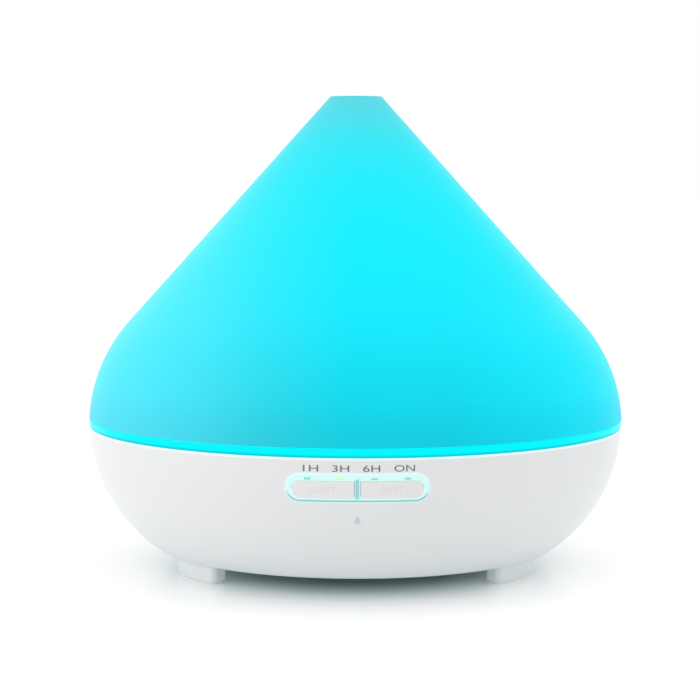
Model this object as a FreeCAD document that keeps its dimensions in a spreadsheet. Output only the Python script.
# Essential oil diffuser: frosted cone cover over a white bowl-shaped base.
# Millimetres, +Z up, origin on the resting plane under the centre of the base.
# The front, with the two buttons, faces -Y.
import FreeCAD, Part
import math
import os
import re
import Sketcher
from FreeCAD import Placement, Rotation, Vector

doc = FreeCAD.newDocument("OilDiffuser")
Z_AXIS = Vector(0, 0, 1)
Y_AXIS = Vector(0, 1, 0)
X_AXIS = Vector(1, 0, 0)
ORIGIN = Vector(0, 0, 0)

# ---------------------------------------------------------------- driving dimensions
DIMENSIONS = {
    # cover
    "total_height": 147.6,
    "cover_radius": 84.35,
    "cover_arc_radius": 49.24,
    "cover_arc_height": 43.85,
    "cone_angle": 41.95,
    "cover_wall": 2.2,
    "cover_gap": 0.2,
    "outlet_edge_radius": 0.7,
    # mist funnel inside the cover
    "funnel_wall": 1.4,
    "funnel_mouth_radius": 31.2,
    "funnel_mouth_height": 97.8,
    "funnel_spout_radius": 9.2,
    "funnel_spout_height": 128.6,
    "funnel_flange_height": 134.0,
    "funnel_flange_thickness": 1.2,
    # light ring between cover and base
    "band_top": 46.85,
    "band_bottom": 44.3,
    "band_radius": 84.2,
    "ring_inner_radius": 69.5,
    "ring_plate": 2.0,
    "lip_radius": 81.3,
    "lip_wall": 2.0,
    "lip_rise": 3.0,
    "ring_edge_radius": 0.35,
    # base bowl
    "rim_radius": 83.98,
    "bowl_centre": 36.3,
    "bowl_centre_height": 45.6,
    "bowl_arc_radius": 47.7,
    "bowl_blend_angle": 54.1,
    "bowl_blend_radius": 6.8,
    "underside_slope": 8.4,
    "bottom_opening": 54.0,
    "bowl_wall": 2.2,
    "ledge_depth": 3.0,
    "ledge_thickness": 1.2,
    # feet
    "foot_outer": 60.0,
    "foot_inner": 54.2,
    "foot_half_angle": 10.75,
    "foot_direction": 33.6,
    "foot_top": 6.9,
    "foot_corner": 1.9,
    "pad_height": 1.0,
    "pad_inset": 0.5,
    "pad_chamfer": 0.3,
    # bottom plate and intake
    "plate_radius": 53.7,
    "plate_low": 4.9,
    "plate_thickness": 2.2,
    "slot_width": 2.0,
    "slot_pitch": 3.6,
    "fan_post_radius": 2.6,
    "board_post_radius": 3.0,
    "post_hole_radius": 1.35,
    "plate_hole_radius": 1.6,
    "plate_bore_radius": 3.2,
    "plate_bore_depth": 1.2,
    # water tank
    "tank_floor": 24.0,
    "tank_floor_radius": 54.0,
    "tank_corner": 9.0,
    "tank_wall": 2.0,
    "tank_rim": 52.0,
    "tank_lean": 2.0,
    "tank_centre_low": 20.3,
    "tank_flat_radius": 16.0,
    "tank_flange_radius": 73.0,
    "boss_offset": 31.1,
    "boss_radius": 3.5,
    "boss_top": 22.2,
    "flange_thickness": 1.6,
    # transducer
    "disc_radius": 10.0,
    "disc_thickness": 0.8,
    "gasket_thickness": 1.4,
    "clamp_radius": 15.0,
    "clamp_thickness": 1.6,
    "clamp_screw_circle": 12.5,
    "clamp_screw_radius": 0.8,
    # fan and chimney
    "fan_side": 30.0,
    "fan_y": 36.0,
    "fan_low": 8.5,
    "fan_depth": 10.0,
    "fan_bore": 13.5,
    "hub_radius": 6.5,
    "blade_tip": 12.7,
    "blade_thickness": 1.0,
    "blade_width": 7.5,
    "blade_angle": 42.0,
    "fan_hole_offset": 12.0,
    "strut_width": 1.6,
    "strut_thickness": 1.2,
    "hub_wall": 0.9,
    "shaft_radius": 0.8,
    "seal_thickness": 1.4,
    "chimney_y": 43.5,
    "chimney_width": 24.0,
    "chimney_deep": 13.0,
    "chimney_top": 60.0,
    "chimney_wall": 1.6,
    "mouth_tall": 5.5,
    # boards
    "board_thickness": 1.6,
    "board_low": 10.5,
    "board_length": 52.0,
    "board_width": 50.0,
    "board_y": -17.0,
    "board_post_x": 21.0,
    "board_post_front": -38.0,
    "board_post_back": 4.0,
    "led_board_thickness": 1.0,
    "led_radius": 1.7,
    "led_height": 1.1,
    "led_board_low": 42.5,
    "led_board_inner": 71.0,
    "led_board_outer": 80.0,
    # button window
    "window_height": 35.7,
    "window_length": 40.9,
    "window_tall": 8.2,
    "button_height": 35.08,
    "button_tall": 4.95,
    "button_start": 0.95,
    "button_end": 18.7,
    "button_proud": 0.35,
    "panel_gap": 0.2,
    "surround_depth": 2.7,
    "light_pipe_length": 1.9,
    "light_pipe_tall": 0.7,
    "light_pipe_height": 38.35,
    "light_pipe_gap": 0.05,
    "chip_side": 1.8,
    "button_board_y": -68.3,
    "button_board_low": 29.2,
    "button_board_tall": 11.4,
    "switch_x": 9.8,
    "switch_side": 6.0,
    "switch_depth": 3.5,
    "plunger_radius": 1.5,
    # power inlet
    "jack_height": 15.5,
    "jack_face": 66.0,
    "jack_socket_radius": 3.15,
    "jack_pin_radius": 1.0,
    "jack_pin_length": 9.4,
    "jack_nose_radius": 4.2,
    "jack_cup_wall": 1.8,
    "recess_wall": 2.2,
    "recess_radius": 6.3,
    # fasteners and wires
    "screw_radius": 1.3,
    "wire_radius": 0.7,
}

dims = doc.addObject("Spreadsheet::Sheet", "Dims")
for row, (alias, size) in enumerate(DIMENSIONS.items(), start=1):
    dims.set(f"A{row}", alias.replace("_", " "))
    dims.set(f"B{row}", str(size))
    dims.setAlias(f"B{row}", alias)
doc.recompute()


def bound(text):
    """An expression with the sheet's name put before every alias."""
    def prefixed(word):
        return "Dims." + word[0] if word[0] in DIMENSIONS else word[0]

    return re.sub(r"[a-z_]{3,}", prefixed, str(text))


def value(text):
    """The number that an expression gives at the sheet's present sizes."""
    return float(dims.evalExpression(bound(text)))


# ---------------------------------------------------------------- derived places, as expressions
# Each arc below has its centre at (radius, height) in the half section through the axis.
COVER_ARC_X = "(cover_radius - cover_arc_radius)"
COVER_INNER = "(cover_arc_radius - cover_wall)"


def on_cover(radius, angle):
    """Point of the half section at an angle above the cover arc's centre."""
    return (f"{COVER_ARC_X} + {radius} * cos({angle})",
            f"cover_arc_height + {radius} * sin({angle})")


def cone_radius(height, inset="0"):
    """Radius of the straight cone at a height, set in by a wall thickness."""
    return (f"({COVER_ARC_X} + (cover_arc_radius - ({inset})) / cos(cone_angle * 1 deg)"
            f" - ({height} - cover_arc_height) * tan(cone_angle * 1 deg))")


def arc_radius_at(centre_x, centre_z, radius, height):
    """Radius of a round wall at a height: the arc's centre plus its reach there."""
    return f"({centre_x} + sqrt(({radius})^2 - (({height}) - {centre_z})^2))"


def cover_at(height, inset="0"):
    """Radius of the cover's round shoulder at a height."""
    return arc_radius_at(COVER_ARC_X, "cover_arc_height", f"cover_arc_radius - ({inset})", height)


def bowl_at(height, inset="0"):
    """Radius of the base bowl's side at a height."""
    return arc_radius_at("bowl_centre", "bowl_centre_height", f"bowl_arc_radius - ({inset})", height)


BLEND_X = "(bowl_centre + (bowl_arc_radius - bowl_blend_radius) * cos(bowl_blend_angle * 1 deg))"
BLEND_Z = "(bowl_centre_height - (bowl_arc_radius - bowl_blend_radius) * sin(bowl_blend_angle * 1 deg))"


def underside(inset="0"):
    """Bowl points from the bottom opening outwards: edge, start and end of the blend arc."""
    blend = f"(bowl_blend_radius - {inset})"
    flat = (f"{BLEND_X} + {blend} * sin(underside_slope * 1 deg)",
            f"{BLEND_Z} - {blend} * cos(underside_slope * 1 deg)")
    edge = ("bottom_opening",
            f"{flat[1]} - ({flat[0]} - bottom_opening) * tan(underside_slope * 1 deg)")
    turn = (f"{BLEND_X} + {blend} * cos(bowl_blend_angle * 1 deg)",
            f"{BLEND_Z} - {blend} * sin(bowl_blend_angle * 1 deg)")
    return edge, flat, turn


# ---------------------------------------------------------------- modelling helpers
def set_size(item, **sizes):
    """Bind properties to expressions; a double underscore stands for a dot."""
    for name, text in sizes.items():
        item.setExpression(name.replace("__", "."), bound(text))
    return item


def new_body(label):
    body = doc.addObject("PartDesign::Body", label)
    body.Label = label
    return body


def origin_plane(body, role):
    return next(item for item in body.Origin.OriginFeatures if item.Role == role)


def bind_coordinate(sketch, kind, geometry, point, text):
    """Hold one coordinate of a sketch point at the size that an expression gives."""
    size = value(text)
    if abs(size) < 1e-9:
        axis = -2 if kind == "DistanceX" else -1
        sketch.addConstraint(Sketcher.Constraint("PointOnObject", geometry, point, axis))
        return
    number = sketch.addConstraint(Sketcher.Constraint(kind, -1, 1, geometry, point, size))
    sketch.setExpression(f"Constraints[{number}]", bound(text))


def outline(body, name, role, corners, offset=None):
    """Closed sketch through corners (x, y) or (x, y, r): an arc of radius r leaves that corner,
    turning left when r is positive and right when it starts with a minus sign."""
    sketch = body.newObject("Sketcher::SketchObject", name)
    sketch.AttachmentSupport = [(origin_plane(body, role), "")]
    sketch.MapMode = "FlatFace"
    if offset is not None:
        sketch.setExpression("AttachmentOffset.Base.z", bound(offset))
    places = [Vector(value(corner[0]), value(corner[1]), 0) for corner in corners]
    ends = []
    for index, corner in enumerate(corners):
        start = places[index]
        end = places[(index + 1) % len(places)]
        if len(corner) == 2:
            edge = sketch.addGeometry(Part.LineSegment(start, end), False)
            ends.append((edge, 1, 2))
            continue
        right_turn = corner[2].startswith("-")
        radius_text = corner[2].lstrip("-")
        radius = value(radius_text)
        if right_turn:
            start, end = end, start
        chord = end - start
        half = chord.Length / 2
        side = Vector(-chord.y, chord.x, 0) / chord.Length
        centre = (start + end) / 2 + side * math.sqrt(max(radius ** 2 - half ** 2, 0))
        angles = [math.atan2(p.y - centre.y, p.x - centre.x) for p in (start, end)]
        circle = Part.Circle(centre, Z_AXIS, radius)
        edge = sketch.addGeometry(Part.ArcOfCircle(circle, angles[0], angles[1]), False)
        ends.append((edge, 2, 1) if right_turn else (edge, 1, 2))
        number = sketch.addConstraint(Sketcher.Constraint("Radius", edge, radius))
        sketch.setExpression(f"Constraints[{number}]", bound(radius_text))
    for index, corner in enumerate(corners):
        before, here = ends[index - 1], ends[index]
        sketch.addConstraint(Sketcher.Constraint("Coincident", before[0], before[2], here[0], here[1]))
        bind_coordinate(sketch, "DistanceX", here[0], here[1], corner[0])
        bind_coordinate(sketch, "DistanceY", here[0], here[1], corner[1])
    return sketch


def turned(label, corners):
    """Body turned about the vertical axis from its half section (radius, height)."""
    body = new_body(label)
    sketch = outline(body, label + "_section", "XZ_Plane", corners)
    turn = body.newObject("PartDesign::Revolution", label + "_turn")
    turn.Profile = sketch
    turn.ReferenceAxis = (sketch, ["V_Axis"])
    turn.Angle = 360
    return body


def padded(label, corners, low, height, role="XY_Plane"):
    """Body raised from a flat outline, from low by height along the plane's normal."""
    body = new_body(label)
    sketch = outline(body, label + "_outline", role, corners, low)
    pad = body.newObject("PartDesign::Pad", label + "_pad")
    pad.Profile = sketch
    pad.setExpression("Length", bound(height))
    return body


def rounded(body, radius, chosen):
    """Fillet the edges of a body's tip that the chosen test accepts."""
    doc.recompute()
    tip = body.Tip
    names = [f"Edge{n}" for n, edge in enumerate(tip.Shape.Edges, start=1) if chosen(edge)]
    fillet = body.newObject("PartDesign::Fillet", body.Label + "_fillet")
    fillet.Base = (tip, names)
    fillet.setExpression("Radius", bound(radius))
    return body


TURNS = {"Y": Rotation(X_AXIS, -90), "Z": Rotation()}


def cylinder(name, radius, height, x="0", y="0", z="0", along="Z"):
    item = doc.addObject("Part::Cylinder", name)
    item.Placement = Placement(ORIGIN, TURNS[along])
    return set_size(item, Radius=radius, Height=height, Placement__Base__x=x,
                    Placement__Base__y=y, Placement__Base__z=z)


def block(name, length, width, height, x="0", y="0", z="0"):
    """Box centred on (x, y) and standing on z."""
    item = doc.addObject("Part::Box", name)
    return set_size(item, Length=length, Width=width, Height=height,
                    Placement__Base__x=f"{x} - ({length}) / 2",
                    Placement__Base__y=f"{y} - ({width}) / 2", Placement__Base__z=z)


def joined(label, pieces):
    item = doc.addObject("Part::MultiFuse", label)
    item.Shapes = pieces
    item.Label = label
    return item


def group(label, pieces):
    """Several separate solids kept together in one sub-part."""
    item = doc.addObject("Part::Compound", label)
    item.Links = pieces
    item.Label = label
    return item


def cut(label, base, tool):
    item = doc.addObject("Part::Cut", label)
    item.Base = base
    item.Tool = tool
    item.Label = label
    return item


def mirrored(label, source):
    """Mirror image of a piece across the middle plane, left to right."""
    item = doc.addObject("Part::Mirroring", label)
    item.Source = source
    item.Normal = FreeCAD.Vector(1, 0, 0)
    item.Label = label
    return item


def common(label, first, second):
    item = doc.addObject("Part::Common", label)
    item.Base = first
    item.Tool = second
    item.Label = label
    return item


def shaped(label, shape):
    """Sub-part whose shape is made in code from the sheet's sizes."""
    item = doc.addObject("Part::Feature", label)
    item.Shape = shape
    item.Label = label
    return item


def screw(name, x, y, head_z, length, head_radius="2.2", head="1.1", upward=True):
    """Round-head screw: a head standing on head_z and a shank that leaves it upwards or downwards."""
    shank_z = f"{head_z} + {head}" if upward else f"{head_z} - {length}"
    shank = cylinder(name + "_shank", "screw_radius", length, x, y, shank_z)
    top = cylinder(name + "_head", head_radius, head, x, y, head_z)
    return joined(name, [shank, top])


def wire(label, points, bend):
    """Round lead along straight runs joined by tangent arcs of one bend radius."""
    runs = [Vector(*point) for point in points]
    edges = []
    start = runs[0]
    for before, corner, after in zip(runs, runs[1:], runs[2:]):
        incoming = (corner - before).normalize()
        outgoing = (after - corner).normalize()
        turn = incoming.getAngle(outgoing)
        reach = bend * math.tan(turn / 2)
        arc_start = corner - incoming * reach
        arc_end = corner + outgoing * reach
        towards = (outgoing - incoming).normalize()
        middle = corner + towards * (bend / math.cos(turn / 2) - bend)
        edges.append(Part.LineSegment(start, arc_start).toShape())
        edges.append(Part.Arc(arc_start, middle, arc_end).toShape())
        start = arc_end
    edges.append(Part.LineSegment(start, runs[-1]).toShape())
    path = Part.Wire(edges)
    section = Part.Wire(Part.makeCircle(value("wire_radius"), runs[0], runs[1] - runs[0]))
    tube = path.makePipeShell([section], True, False)
    if tube.Volume < 0:
        tube.reverse()
    expected = math.pi * value("wire_radius") ** 2 * path.Length
    if abs(tube.Volume / expected - 1) > 0.02:
        raise RuntimeError("folded lead: " + label)
    return shaped(label, tube)


# ---------------------------------------------------------------- cover body
def make_cover():
    """Frosted cone over a round shoulder, open below, with the mist outlet at its tip."""
    low = "band_top + cover_gap"
    cone = "cone_angle * 1 deg"
    top = "total_height"
    body = turned("cover", [
        (cover_at(low, "cover_wall"), low),
        (cover_at(low), low, "cover_arc_radius"),
        on_cover("cover_arc_radius", cone),
        (cone_radius(top), top),
        (cone_radius(top, "cover_wall"), top),
        (*on_cover(COVER_INNER, cone), "-" + COVER_INNER),
    ])
    return rounded(body, "outlet_edge_radius",
                   lambda edge: abs(edge.BoundBox.ZMin - value(top)) < 0.01 and edge.BoundBox.ZLength < 0.01)


def make_mist_funnel():
    """Skirt and spout inside the tip; its flange rests against the inside of the cone."""
    gap = "cover_wall + 0.1"
    flange_low = "funnel_flange_height"
    flange_high = "funnel_flange_height + funnel_flange_thickness"
    spout_inner = "funnel_spout_radius - funnel_wall"
    return turned("mist_funnel", [
        ("funnel_mouth_radius - 1.2", "funnel_mouth_height - 0.8"),
        ("funnel_mouth_radius", "funnel_mouth_height"),
        ("funnel_spout_radius", "funnel_spout_height"),
        ("funnel_spout_radius", flange_low),
        (cone_radius(flange_low, gap), flange_low),
        (cone_radius(flange_high, gap), flange_high),
        (spout_inner, flange_high),
        (spout_inner, "funnel_spout_height - 0.4"),
    ])


# ---------------------------------------------------------------- light ring and base shell
def make_light_ring():
    """Translucent ring: visible band, inner plate over the LEDs and the lip that centres the cover."""
    lip_inner = "lip_radius - lip_wall"
    plate_low = "band_top - ring_plate"
    body = turned("light_ring", [
        ("rim_radius - bowl_wall", "band_bottom"), ("rim_radius", "band_bottom"),
        ("band_radius", "band_top"), ("lip_radius", "band_top"),
        ("lip_radius", "band_top + lip_rise"), (lip_inner, "band_top + lip_rise"),
        (lip_inner, "band_top"), ("ring_inner_radius", "band_top"),
        ("ring_inner_radius", plate_low), ("rim_radius - bowl_wall", plate_low),
    ])
    rim = value("rim_radius")
    return rounded(body, "ring_edge_radius",
                   lambda edge: edge.BoundBox.ZLength < 0.01 and edge.BoundBox.XMax > rim - 0.01)


def foot_shape(inset, low, high):
    """Four ring segments with rounded upright corners, one towards each quarter."""
    inner = value("foot_inner") + inset
    outer = value("foot_outer") - inset
    half = value("foot_half_angle") - math.degrees(inset / outer)
    full = Part.makeCylinder(outer, high - low, Vector(0, 0, low), Z_AXIS, 2 * half)
    core = Part.makeCylinder(inner, high - low, Vector(0, 0, low))
    segment = full.cut(core)
    upright = [edge for edge in segment.Edges if abs(edge.BoundBox.ZLength - (high - low)) < 1e-6
               and edge.BoundBox.DiagonalLength - edge.BoundBox.ZLength < 1e-3]
    segment = segment.makeFillet(value("foot_corner"), upright)
    segment.rotate(ORIGIN, Z_AXIS, -half)
    feet = []
    for direction in (1, -1):
        for side in (0, 180):
            foot = segment.copy()
            foot.rotate(ORIGIN, Z_AXIS, side + direction * value("foot_direction"))
            feet.append(foot)
    return feet


def pill(label, length, tall, height, low, deep):
    """Pill-shaped block lying across the front, from low by deep towards -Y."""
    half = f"(({length}) - ({tall})) / 2"
    top, bottom = f"{height} + ({tall}) / 2", f"{height} - ({tall}) / 2"
    end = f"({tall}) / 2"
    return padded(label, [
        (f"-{half}", bottom), (half, bottom, end), (f"{half} + {end}", height, end), (half, top),
        (f"-{half}", top, end), (f"-{half} - {end}", height, end),
    ], low, deep, "XZ_Plane")


LEDGE_TOP = "(led_board_low - 0.1)"
LEDGE_LOW = "(led_board_low - 0.1 - ledge_thickness)"
LEDGE_RADIUS = "(led_board_outer - ledge_depth)"


def make_base_shell():
    """Glossy bowl with the button window, LED board ledge, jack cup and four feet."""
    edge, flat, turn = underside()
    inner_edge, inner_flat, inner_turn = underside("bowl_wall")
    bowl = turned("bowl", [
        edge, (*flat, "bowl_blend_radius"), (*turn, "bowl_arc_radius"),
        (bowl_at("band_bottom"), "band_bottom"),
        (bowl_at("band_bottom", "bowl_wall"), "band_bottom", "-(bowl_arc_radius - bowl_wall)"),
        (bowl_at(LEDGE_TOP, "bowl_wall"), LEDGE_TOP), (LEDGE_RADIUS, LEDGE_TOP), (LEDGE_RADIUS, LEDGE_LOW),
        (bowl_at(LEDGE_LOW, "bowl_wall"), LEDGE_LOW, "-(bowl_arc_radius - bowl_wall)"),
        (*inner_turn, "-(bowl_blend_radius - bowl_wall)"), inner_flat, inner_edge,
    ])
    envelope = turned("bowl_envelope", [
        ("0", edge[1]), edge, (*flat, "bowl_blend_radius"), (*turn, "bowl_arc_radius"),
        (bowl_at("band_bottom"), "band_bottom"), ("0", "band_bottom"),
    ])
    cup_solid = cylinder("jack_cup_solid", "recess_radius + jack_cup_wall", "30", "0", "jack_face",
                         "jack_height", "Y")
    cup = common("jack_cup", cup_solid, envelope)
    feet = shaped("feet", Part.makeCompound(foot_shape(0, value("pad_height"), value("foot_top"))))
    whole = joined("bowl_with_feet", [bowl, cup, feet])
    window = pill("window", "window_length", "window_tall", "window_height", "60", "40")
    recess = cylinder("jack_recess", "recess_radius", "40", "0", "jack_face + recess_wall",
                      "jack_height", "Y")
    hole = cylinder("jack_hole", "jack_nose_radius + 0.1", "10", "0", "jack_face - 4", "jack_height", "Y")
    return cut("base_shell", whole, joined("shell_openings", [window, recess, hole]))


def make_rubber_feet():
    """Soft pads glued into the feet; they are what the diffuser stands on."""
    pads = foot_shape(value("pad_inset"), 0, value("pad_height"))
    soft = []
    for pad in pads:
        lower = [edge for edge in pad.Edges if edge.BoundBox.ZMax < 1e-6]
        soft.append(pad.makeChamfer(value("pad_chamfer"), lower))
    return shaped("rubber_feet", Part.makeCompound(soft))


# ---------------------------------------------------------------- bottom plate
QUARTERS = [(-1, -1), (-1, 1), (1, -1), (1, 1)]
FAN_HOLES = [(f"{sx} * fan_hole_offset", f"fan_y + {sy} * fan_hole_offset") for sx, sy in QUARTERS]
BOSSES = [(f"{sx} * boss_offset", f"{sy} * boss_offset") for sx, sy in QUARTERS]
BOARD_POSTS = [(f"{sx} * board_post_x", y) for sx in (-1, 1) for y in ("board_post_front", "board_post_back")]
PLATE_TOP = "plate_low + plate_thickness"


def make_bottom_plate():
    """Screwed-on plate: intake slots under the fan, counterbored holes, posts for fan and board."""
    disc = cylinder("plate_disc", "plate_radius", "plate_thickness", "0", "0", "plate_low")
    posts = [cylinder(f"fan_post_{n}", "fan_post_radius", f"fan_low - ({PLATE_TOP})", x, y, PLATE_TOP)
             for n, (x, y) in enumerate(FAN_HOLES)]
    posts += [cylinder(f"board_post_{n}", "board_post_radius", f"board_low - ({PLATE_TOP})", x, y, PLATE_TOP)
              for n, (x, y) in enumerate(BOARD_POSTS)]
    openings = []
    for n in range(-3, 4):
        # each slot is as long as the fan's round intake is wide there
        length = f"2 * sqrt((fan_bore - 1.5)^2 - ({n} * slot_pitch)^2)"
        openings.append(block(f"slot_{n + 3}", length, "slot_width", "6", "0",
                              f"fan_y + {n} * slot_pitch", "plate_low - 1"))
    for n, (x, y) in enumerate(BOSSES):
        openings.append(cylinder(f"plate_hole_{n}", "plate_hole_radius", "6", x, y, "plate_low - 1"))
        openings.append(cylinder(f"plate_bore_{n}", "plate_bore_radius", "plate_bore_depth + 1", x, y,
                                 "plate_low - 1"))
    for n, (x, y) in enumerate(FAN_HOLES + BOARD_POSTS):
        openings.append(cylinder(f"post_hole_{n}", "post_hole_radius", "12", x, y, "plate_low + 1.2"))
    return cut("bottom_plate", joined("plate_solid", [disc] + posts), joined("plate_openings", openings))


def make_base_screws():
    return group("base_screws", [screw(f"base_screw_{n}", x, y, "plate_low + 0.1", "10", "2.9")
                                 for n, (x, y) in enumerate(BOSSES)])


# ---------------------------------------------------------------- water tank and transducer
def make_water_tank():
    """Open bowl with a centre hole for the transducer, a rear slot for the chimney and four bosses."""
    inner_wall = "(tank_floor_radius + tank_corner)"
    knee = "(tank_floor + tank_corner)"
    hole = "disc_radius - 1.5"
    flange = "band_top + 0.1"
    flange_top = f"{flange} + flange_thickness"
    bowl = turned("tank_bowl", [
        (hole, "tank_centre_low"), ("tank_flat_radius", "tank_centre_low"),
        ("tank_floor_radius", "tank_floor - tank_wall", "(tank_corner + tank_wall)"),
        (f"{inner_wall} + tank_wall", knee),
        (f"{inner_wall} + tank_wall + tank_lean * 0.7", flange), ("tank_flange_radius", flange),
        ("tank_flange_radius", flange_top),
        (f"{inner_wall} + tank_wall + tank_lean * 0.8", flange_top),
        (f"{inner_wall} + tank_wall + tank_lean * 0.9", "tank_rim"),
        (f"{inner_wall} + tank_lean", "tank_rim"), (inner_wall, knee, "-tank_corner"),
        ("tank_floor_radius", "tank_floor"), ("tank_flat_radius", "tank_centre_low + tank_wall"),
        (hole, "tank_centre_low + tank_wall"),
    ])
    boss_low = f"{PLATE_TOP} + 0.2"
    bosses = [cylinder(f"tank_boss_{n}", "boss_radius", f"boss_top - ({boss_low})", x, y, boss_low)
              for n, (x, y) in enumerate(BOSSES)]
    pilots = [cylinder(f"tank_pilot_{n}", "screw_radius + 0.1", "11", x, y, PLATE_TOP)
              for n, (x, y) in enumerate(BOSSES)]
    slot = block("chimney_slot", "chimney_width - 0.2", "chimney_deep - 0.2", "10", "0", "chimney_y", "18")
    pilot_low = "tank_centre_low - 1.6"
    clamp_holes = [cylinder(f"clamp_pilot_{n}", "clamp_screw_radius + 0.05", "3", x, y, pilot_low)
                   for n, (x, y) in enumerate(clamp_places())]
    tools = joined("tank_openings", pilots + [slot] + clamp_holes)
    return cut("water_tank", joined("tank_solid", [bowl] + bosses), tools)


def clamp_places():
    """The three screws of the transducer's clamp, evenly round its axis."""
    return [(f"clamp_screw_circle * cos({angle} deg)", f"clamp_screw_circle * sin({angle} deg)")
            for angle in (90, 210, 330)]


def make_transducer():
    """Seal, vibrating disc, clamp ring and its three screws, stacked below the tank floor."""
    low_seal = "tank_centre_low - gasket_thickness"
    low_disc = f"{low_seal} - disc_thickness"
    low_clamp = f"{low_disc} - clamp_thickness"
    seal = turned("transducer_seal", [
        ("disc_radius - 1.5", low_seal), ("disc_radius + 0.6", low_seal),
        ("disc_radius + 0.6", "tank_centre_low"), ("disc_radius - 1.5", "tank_centre_low"),
    ])
    disc = joined("transducer_disc", [
        cylinder("brass_disc", "disc_radius", "disc_thickness * 0.5", z=f"{low_seal} - disc_thickness * 0.5"),
        cylinder("piezo_disc", "disc_radius - 2", "disc_thickness * 0.5", z=low_disc),
    ])
    ring = turned("clamp_ring", [
        ("disc_radius - 1.6", low_clamp), ("clamp_radius", low_clamp),
        ("clamp_radius", "tank_centre_low - 0.1"), ("disc_radius + 0.8", "tank_centre_low - 0.1"),
        ("disc_radius + 0.8", f"{low_disc} + 0.3"), ("disc_radius - 1.6", f"{low_disc} + 0.3"),
    ])
    pocket = cylinder("disc_pocket", "disc_radius + 0.1", "2", z=low_disc)
    holes = [cylinder(f"clamp_hole_{n}", "clamp_screw_radius + 0.05", "8", x, y, f"{low_clamp} - 1")
             for n, (x, y) in enumerate(clamp_places())]
    clamp = cut("transducer_clamp", ring, joined("clamp_openings", [pocket] + holes))
    screws = []
    for n, (x, y) in enumerate(clamp_places()):
        head = cylinder(f"clamp_screw_head_{n}", "1.5", "0.9", x, y, f"{low_clamp} - 0.95")
        shank = cylinder(f"clamp_screw_shank_{n}", "clamp_screw_radius", "5", x, y, f"{low_clamp} - 0.1")
        screws.append(joined(f"clamp_screw_{n}", [head, shank]))
    return [seal, disc, clamp, group("clamp_screws", screws)]


# ---------------------------------------------------------------- fan and air path
def make_fan_housing():
    """Square frame with a round bore, four screw holes and the cross of struts that carries the motor."""
    frame = block("fan_frame", "fan_side", "fan_side", "fan_depth", "0", "fan_y", "fan_low")
    bore = cylinder("fan_bore_cut", "fan_bore", "20", "0", "fan_y", "fan_low - 5")
    holes = [cylinder(f"fan_hole_{n}", "screw_radius + 0.2", "20", x, y, "fan_low - 5")
             for n, (x, y) in enumerate(FAN_HOLES)]
    open_frame = cut("fan_open_frame", frame, joined("fan_openings", [bore] + holes))
    seat = cylinder("motor_seat", "hub_radius", "strut_thickness", "0", "fan_y", "fan_low")
    reach = "2 * fan_bore + 1"
    across = block("strut_across", reach, "strut_width", "strut_thickness", "0", "fan_y", "fan_low")
    along = block("strut_along", "strut_width", reach, "strut_thickness", "0", "fan_y", "fan_low")
    return joined("fan_housing", [open_frame, seat, across, along])


def make_fan_motor():
    """Fixed motor core inside the hub, bored for the rotor's shaft."""
    core = cylinder("motor_core", "hub_radius - 1.4", "5.4", "0", "fan_y", "fan_low + strut_thickness")
    shaft_bore = cylinder("shaft_bore", "shaft_radius + 0.05", "8", "0", "fan_y", "fan_low + 1.8")
    return cut("fan_motor", core, shaft_bore)


def make_fan_impeller():
    """Hub cup and shaft with seven slanted blades round them."""
    cup_low = "fan_low + 2"
    cup_height = "7"
    shaft_low = "fan_low + 2.2"
    cup_solid = cylinder("hub_solid", "hub_radius", cup_height, "0", "fan_y", cup_low)
    cup_space = cylinder("hub_space", "hub_radius - hub_wall", f"{cup_height} - 0.8", "0", "fan_y", cup_low)
    cup = cut("hub_cup", cup_solid, cup_space)
    shaft = cylinder("fan_shaft", "shaft_radius", f"{cup_height} - 0.4", "0", "fan_y", shaft_low)
    hub = value("hub_radius")
    tip = value("blade_tip")
    thick = value("blade_thickness")
    width = value("blade_width")
    middle = value("fan_low") + 5.5
    fan_of_blades = Part.makeCompound([])
    blade_count = 7
    for n in range(blade_count):
        blade = Part.makeBox(tip - hub + 2, thick, width)
        blade.translate(Vector(hub - 0.5, -thick / 2, -width / 2))
        blade.rotate(ORIGIN, X_AXIS, value("blade_angle"))
        blade.translate(Vector(0, 0, middle))
        blade.rotate(ORIGIN, Z_AXIS, n * 360 / blade_count)
        fan_of_blades.add(blade)
    reach = Part.makeCylinder(tip, value("fan_depth") - 3.4, Vector(0, 0, value(shaft_low)))
    core = Part.makeCylinder(hub - 0.4, value("total_height"))
    trimmed = fan_of_blades.common(reach).cut(core)
    trimmed.translate(Vector(0, value("fan_y"), 0))
    return joined("fan_impeller", [cup, shaft, shaped("fan_blades", trimmed)])


FAN_TOP = "fan_low + fan_depth"


def make_fan_seal():
    """Foam frame between the fan and the air chimney, notched round the four screw heads."""
    solid = block("seal_solid", "fan_side", "fan_side", "seal_thickness", "0", "fan_y", f"{FAN_TOP} + 0.2")
    cuts = [cylinder("seal_bore", "fan_bore - 0.4", "6", "0", "fan_y", FAN_TOP)]
    notch = "5.2"
    for n, (sx, sy) in enumerate(QUARTERS):
        x = f"{sx} * fan_hole_offset * 1.04"
        y = f"fan_y + {sy} * fan_hole_offset * 1.04"
        cuts.append(block(f"seal_corner_{n}", notch, notch, "6", x, y, FAN_TOP))
    return cut("fan_seal", solid, joined("seal_openings", cuts))


def make_fan():
    """Housing, fixed motor, bladed rotor, four screws and the foam seal above them."""
    screws = group("fan_screws", [screw(f"fan_screw_{n}", x, y, FAN_TOP, "10", "1.7", "1", False)
                                  for n, (x, y) in enumerate(FAN_HOLES)])
    return [make_fan_housing(), make_fan_motor(), make_fan_impeller(), screws, make_fan_seal()]


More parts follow.
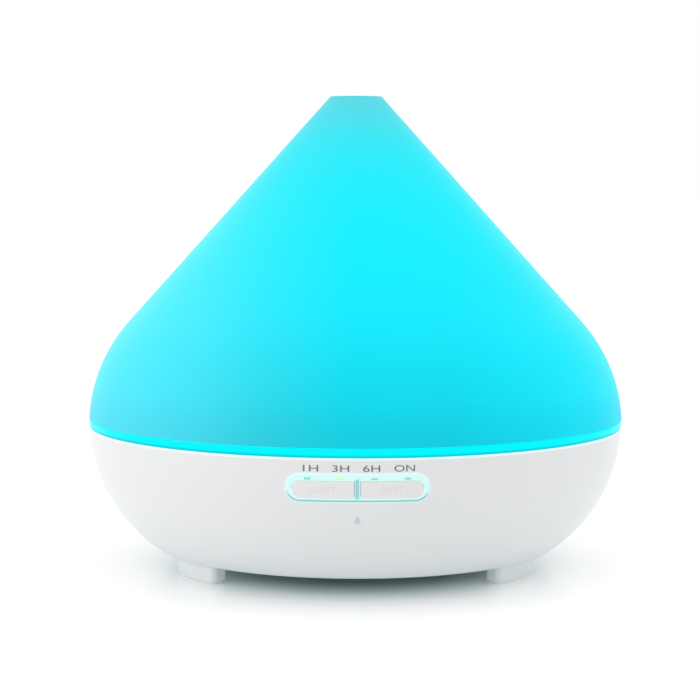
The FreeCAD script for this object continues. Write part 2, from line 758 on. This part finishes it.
def make_air_chimney():
    """Duct that lifts the fan's air above the water, with a flange on the tank floor and a side mouth."""
    low = "tank_floor + 0.2"
    skirt_low = f"{FAN_TOP} + 0.4 + seal_thickness"
    flange = block("chimney_flange", "chimney_width + 5", "chimney_deep + 5", "1.4", "0", "chimney_y", low)
    tube = block("chimney_tube", "chimney_width", "chimney_deep", f"chimney_top - ({low})", "0",
                 "chimney_y", low)
    skirt = block("chimney_skirt", "chimney_width - 0.6", "chimney_deep - 0.6",
                  f"tank_floor - ({skirt_low}) + 0.4", "0", "chimney_y", skirt_low)
    inside_low = "10"
    inside = block("chimney_inside", "chimney_width - 2 * chimney_wall", "chimney_deep - 2 * chimney_wall",
                   f"chimney_top - chimney_wall - {inside_low}", "0", "chimney_y", inside_low)
    mouth = block("chimney_mouth", "chimney_width - 4 * chimney_wall", "chimney_deep", "mouth_tall", "0",
                  "chimney_y - chimney_deep / 2", "chimney_top - chimney_wall - mouth_tall - 1")
    solid = joined("chimney_solid", [flange, tube, skirt])
    return cut("air_chimney", solid, joined("chimney_openings", [inside, mouth]))


# ---------------------------------------------------------------- electronics
BOARD_TOP = "board_low + board_thickness"


def make_main_board():
    """Green board on the plate's posts, notched round the two front bosses of the tank."""
    board = block("board_solid", "board_length", "board_width", "board_thickness", "0", "board_y",
                  "board_low")
    holes = [cylinder(f"board_hole_{n}", "screw_radius + 0.2", "8", x, y, "board_low - 3")
             for n, (x, y) in enumerate(BOARD_POSTS)]
    corners = [cylinder(f"board_notch_{n}", "boss_radius + 1", "8", x, y, "board_low - 3")
               for n, (x, y) in enumerate(BOSSES[:3:2])]
    return cut("main_board", board, joined("board_openings", holes + corners))


def make_board_screws():
    return group("board_screws", [screw(f"board_screw_{n}", x, y, BOARD_TOP, "4.6", "2.3", "1.3", False)
                                  for n, (x, y) in enumerate(BOARD_POSTS)])


def make_capacitors():
    """Three upright cans in front of the chip; each place gives radius, height, x and y."""
    cans = [("3.1", "7.5", "10", "-36"), ("3.1", "7.5", "2.5", "-36"), ("2.5", "6", "-15", "-35")]
    return group("capacitors", [cylinder(f"capacitor_{n}", radius, tall, x, y, BOARD_TOP)
                                for n, (radius, tall, x, y) in enumerate(cans)])


def make_inductor():
    """Drum of the inductor: winding between two wider rims."""
    x = "18"
    y = "-22"
    rim_radius = "4.6"
    foot = cylinder("winding_foot", rim_radius, "1", x, y, BOARD_TOP)
    winding = cylinder("winding", "3.4", "4.4", x, y, f"{BOARD_TOP} + 1")
    cap = cylinder("winding_cap", rim_radius, "1", x, y, f"{BOARD_TOP} + 5.4")
    return joined("inductor", [foot, winding, cap])


def make_heat_sink():
    """Plate on the driver transistor with five upright fins."""
    fin_pitch = 2.5
    plate = block("sink_plate", "12", "8", "1.2", "4", "-22", f"{BOARD_TOP} + 1.7")
    fins = [block(f"sink_fin_{n}", "1", "8", "4.5", f"4 + {(n - 2) * fin_pitch}", "-22", f"{BOARD_TOP} + 2")
            for n in range(5)]
    return joined("heat_sink", [plate] + fins)


def make_wire_connectors():
    """Three open-topped boxes that take the leads of the transducer, jack and fan."""
    connectors = []
    for n, (x, y) in enumerate([("-22", "-8"), ("-21", "-18"), ("21", "-8")]):
        shell = block(f"connector_shell_{n}", "4.6", "7", "5", x, y, BOARD_TOP)
        space = block(f"connector_space_{n}", "3.2", "5.6", "5", x, y, f"{BOARD_TOP} + 1")
        connectors.append(cut(f"connector_{n}", shell, space))
    return group("wire_connectors", connectors)


def make_board_parts():
    """Everything that stands on the main board."""
    chip = block("control_chip", "7.5", "7.5", "1.4", "-8", "-24", BOARD_TOP)
    transistor = block("driver_transistor", "10", "4.4", "1.6", "4", "-22", BOARD_TOP)
    return [chip, transistor, make_capacitors(), make_inductor(), make_heat_sink(), make_wire_connectors()]


def make_led_ring():
    """Ring board on the shell's ledge with LEDs that light the ring and the cover."""
    top = "led_board_low + led_board_thickness"
    board = turned("led_board", [
        ("led_board_inner", "led_board_low"), ("led_board_outer", "led_board_low"),
        ("led_board_outer", top), ("led_board_inner", top),
    ])
    circle = "(led_board_inner + led_board_outer) / 2"
    led_count = 16
    leds = []
    for n in range(led_count):
        angle = f"({(n + 0.5) * 360 / led_count} deg)"
        leds.append(cylinder(f"led_{n}", "led_radius", "led_height", f"{circle} * cos{angle}",
                             f"{circle} * sin{angle}", top))
    return [board, group("leds", leds)]


# ---------------------------------------------------------------- button window
def panel_skin(label, outer, inner):
    """Band of the bowl's wall across the window's height, between two offsets from its surface."""
    low, high = "window_height - 9", "window_height + 7.6"
    return turned(label, [
        (bowl_at(low, f"({inner})"), low),
        (bowl_at(low, f"({outer})"), low, f"(bowl_arc_radius - ({outer}))"),
        (bowl_at(high, f"({outer})"), high),
        (bowl_at(high, f"({inner})"), high, f"-(bowl_arc_radius - ({inner}))"),
    ])


def button_prism(label, side, grow):
    """D-shaped block of one button, rounded at its outer end; side is -1 left or 1 right."""
    inner = f"{side} * (button_start - ({grow}))"
    radius = f"(button_tall / 2 + ({grow}))"
    turn = f"{side} * (button_end - button_tall / 2)"
    tip = f"{side} * (button_end + ({grow}))"
    top, bottom = f"button_height + {radius}", f"button_height - {radius}"
    bend = radius if side > 0 else "-" + radius
    return padded(label, [
        (inner, bottom), (turn, bottom, bend), (tip, "button_height", bend), (turn, top), (inner, top),
    ], "60", "30", "XZ_Plane")


KEY_SIDES = [("light", -1), ("mist", 1)]
INDICATORS = ["-14.2", "-4.75", "4.75", "14.2"]
PIPE_LOW = "light_pipe_height - light_pipe_tall / 2"


def make_button_surround():
    """Clear light guide that fills the window around both buttons, with a flange behind the wall."""
    front_skin = panel_skin("surround_skin", "0.02", "surround_depth")
    front_pill = pill("surround_pill", "window_length - 0.3", "window_tall - 0.3", "window_height",
                      "60", "30")
    front = common("surround_front", front_skin, front_pill)
    flange_skin = panel_skin("flange_skin", "bowl_wall + 0.2", "surround_depth + 1.1")
    flange_pill = pill("flange_pill", "window_length + 3", "window_tall + 2.4", "window_height",
                       "60", "30")
    flange = common("surround_flange", flange_skin, flange_pill)
    holes = [button_prism(f"surround_hole_{name}", side, "panel_gap") for name, side in KEY_SIDES]
    for n, x in enumerate(INDICATORS):
        holes.append(block(f"pipe_hole_{n}", "light_pipe_length + 2 * light_pipe_gap", "30",
                           "light_pipe_tall + 2 * light_pipe_gap", x, "-75", f"{PIPE_LOW} - light_pipe_gap"))
    solid = joined("surround_solid", [front, flange])
    return cut("button_surround", solid, joined("surround_openings", holes))


def stands_proud(vertex):
    """Whether a vertex lies outside the bowl's surface."""
    return math.hypot(vertex.X, vertex.Y) > value(bowl_at(str(vertex.Z))) + 0.2


def make_buttons():
    """Curved caps with softened edges, a keeper flange and a push post; the right key mirrors the left."""
    label = "light_button"
    side = -1
    cap = common(label + "_cap", panel_skin(label + "_skin", "-button_proud", "4.6"),
                 button_prism(label + "_prism", side, "0"))
    keeper = common(label + "_keeper", panel_skin(label + "_keeper_skin", "4.2", "5.2"),
                    button_prism(label + "_keeper_prism", side, "0.35"))
    post = cylinder(label + "_post", "1.8", "5", f"{side} * switch_x", "-79", "button_height", "Y")
    solid = joined(label + "_solid", [cap, keeper, post])
    doc.recompute()
    softening = value("button_proud") * 0.8
    proud_edges = [number for number, edge in enumerate(solid.Shape.Edges, start=1)
                   if all(stands_proud(vertex) for vertex in edge.Vertexes)]
    smooth = doc.addObject("Part::Fillet", label)
    smooth.Base = solid
    smooth.Edges = [(number, softening, softening) for number in proud_edges]
    smooth.Label = label
    return [smooth, mirrored("mist_button", smooth)]


def make_switches():
    """Upright board with two tact switches; each plunger slides in its own switch body."""
    board = block("button_board", "44", "board_thickness", "button_board_tall", "0", "button_board_y",
                  "button_board_low")
    switch_y = "button_board_y - (board_thickness + switch_depth) / 2"
    switch_front = f"{switch_y} - switch_depth / 2"
    bodies = []
    plungers = []
    for name, side in KEY_SIDES:
        x = f"{side} * switch_x"
        solid = block(f"{name}_switch_solid", "switch_side", "switch_depth", "switch_side", x, switch_y,
                      "button_height - switch_side / 2")
        bore = cylinder(f"{name}_switch_bore", "plunger_radius + 0.1", "2.6", x, f"{switch_front} - 0.4",
                        "button_height", "Y")
        bodies.append(cut(f"{name}_switch", solid, bore))
        plungers.append(cylinder(f"{name}_switch_plunger", "plunger_radius", "2.6", x,
                                 f"{switch_front} - 1.3", "button_height", "Y"))
    return [board, group("switch_bodies", bodies)] + plungers


def make_indicators():
    """Four clear light pipes flush in the surround and the small chips that feed them."""
    low = "30"
    high = "43"
    set_back = "0.05"
    envelope = turned("pipe_envelope", [
        ("0", low), (bowl_at(low, set_back), low, f"(bowl_arc_radius - {set_back})"),
        (bowl_at(high, set_back), high), ("0", high),
    ])
    pipe_back = "button_board_y - 2.1"
    chip_y = f"{pipe_back} + 0.7"
    pipes = []
    chips = []
    for n, x in enumerate(INDICATORS):
        rod = block(f"pipe_rod_{n}", "light_pipe_length", "22", "light_pipe_tall", x,
                    f"{pipe_back} - 11", PIPE_LOW)
        pipes.append(common(f"pipe_{n}", rod, envelope))
        chips.append(block(f"chip_{n}", "chip_side", "1", "chip_side", x, chip_y,
                           "light_pipe_height - chip_side / 2"))
    return [group("indicator_lights", pipes), group("indicator_chips", chips)]


# ---------------------------------------------------------------- power inlet
def make_dc_jack():
    """Barrel jack: moulded body with its nose in the shell, centre pin and spring contact."""
    body = block("jack_box", "9", "11", "8.5", "0", "jack_face - 5.6", "jack_height - 4")
    nose = cylinder("jack_nose", "jack_nose_radius", "2.4", "0", "jack_face - 0.2", "jack_height", "Y")
    socket = cylinder("jack_socket", "jack_socket_radius", "10.2", "0", "jack_face - 8", "jack_height", "Y")
    pin_seat = cylinder("jack_pin_seat", "jack_pin_radius + 0.42", "3", "0", "jack_face - 10.5",
                        "jack_height", "Y")
    spring_slot = block("jack_spring_slot", "2.2", "6", "1.8", "0", "jack_face - 4.5", "jack_height - 4.2")
    jack = cut("dc_jack", joined("jack_solid", [body, nose]),
               joined("jack_openings", [socket, pin_seat, spring_slot]))
    root = cylinder("pin_root", "jack_pin_radius + 0.4", "2.2", "0", "jack_face - 10.2", "jack_height", "Y")
    shaft = cylinder("pin_shaft", "jack_pin_radius", "jack_pin_length", "0", "jack_face - 8",
                     "jack_height", "Y")
    pin = joined("jack_centre_pin", [root, shaft])
    spring = block("jack_spring", "2", "5.6", "0.4", "0", "jack_face - 4.5", "jack_height - 3.6")
    return [jack, pin, spring]


# ---------------------------------------------------------------- wires
def make_wires():
    """Insulated leads between the boards and the fan, transducer, jack, LED ring and buttons."""
    plug = value(BOARD_TOP) + 2.1
    above = 18.6
    tight = 1.5
    small = 1.8
    wide = 4
    routes = [
        ("transducer_lead", tight, [(-22, -8, plug), (-22, -8, above), (-18, -6, 18), (-14.5, -5, 14.6),
                                    (-6, -3, 14.6), (-6, -3, 18)]),
        ("fan_lead", small, [(21, -8, plug), (21, -8, above), (21, 12, 17), (19.5, 28, 12), (15.9, 34, 11)]),
        ("jack_lead", small, [(-21, -18, plug), (-21, -18, above), (-27, -4, 17.5), (-26, 20, 15),
                              (-20, 52, 13), (-5.6, 60, 13)]),
        ("led_lead", wide, [(-27, -14, 12.5), (-44, -18, 13), (-66, -22, 28), (-71, -23.7, 42.2)]),
        ("button_lead", wide, [(0, -43, 11.5), (0, -50, 12), (0, -62, 22), (0, -66.6, 30)]),
    ]
    return [wire(label, points, bend) for label, bend, points in routes]


# ---------------------------------------------------------------- build, check and write
subparts = [
    make_cover(),
    make_mist_funnel(),
    make_light_ring(),
    make_base_shell(),
    make_rubber_feet(),
    make_bottom_plate(),
    make_base_screws(),
    make_water_tank(),
    *make_transducer(),
    *make_fan(),
    make_air_chimney(),
    make_main_board(),
    make_board_screws(),
    *make_board_parts(),
    *make_led_ring(),
    make_button_surround(),
    *make_buttons(),
    *make_switches(),
    *make_indicators(),
    *make_dc_jack(),
    *make_wires(),
]
doc.recompute()

failed = [item.Name for item in doc.Objects if "Invalid" in item.State or "Error" in item.State]
if failed:
    raise RuntimeError("failed objects: " + ", ".join(failed))
for item in subparts:
    if item.Shape.isNull() or not item.Shape.isValid() or item.Shape.Volume <= 0:
        raise RuntimeError("bad shape: " + item.Label)

os.makedirs("parts", exist_ok=True)
for item in subparts:
    item.Shape.exportStep(f"parts/{item.Label}.step")
print(len(subparts), "sub-parts written")
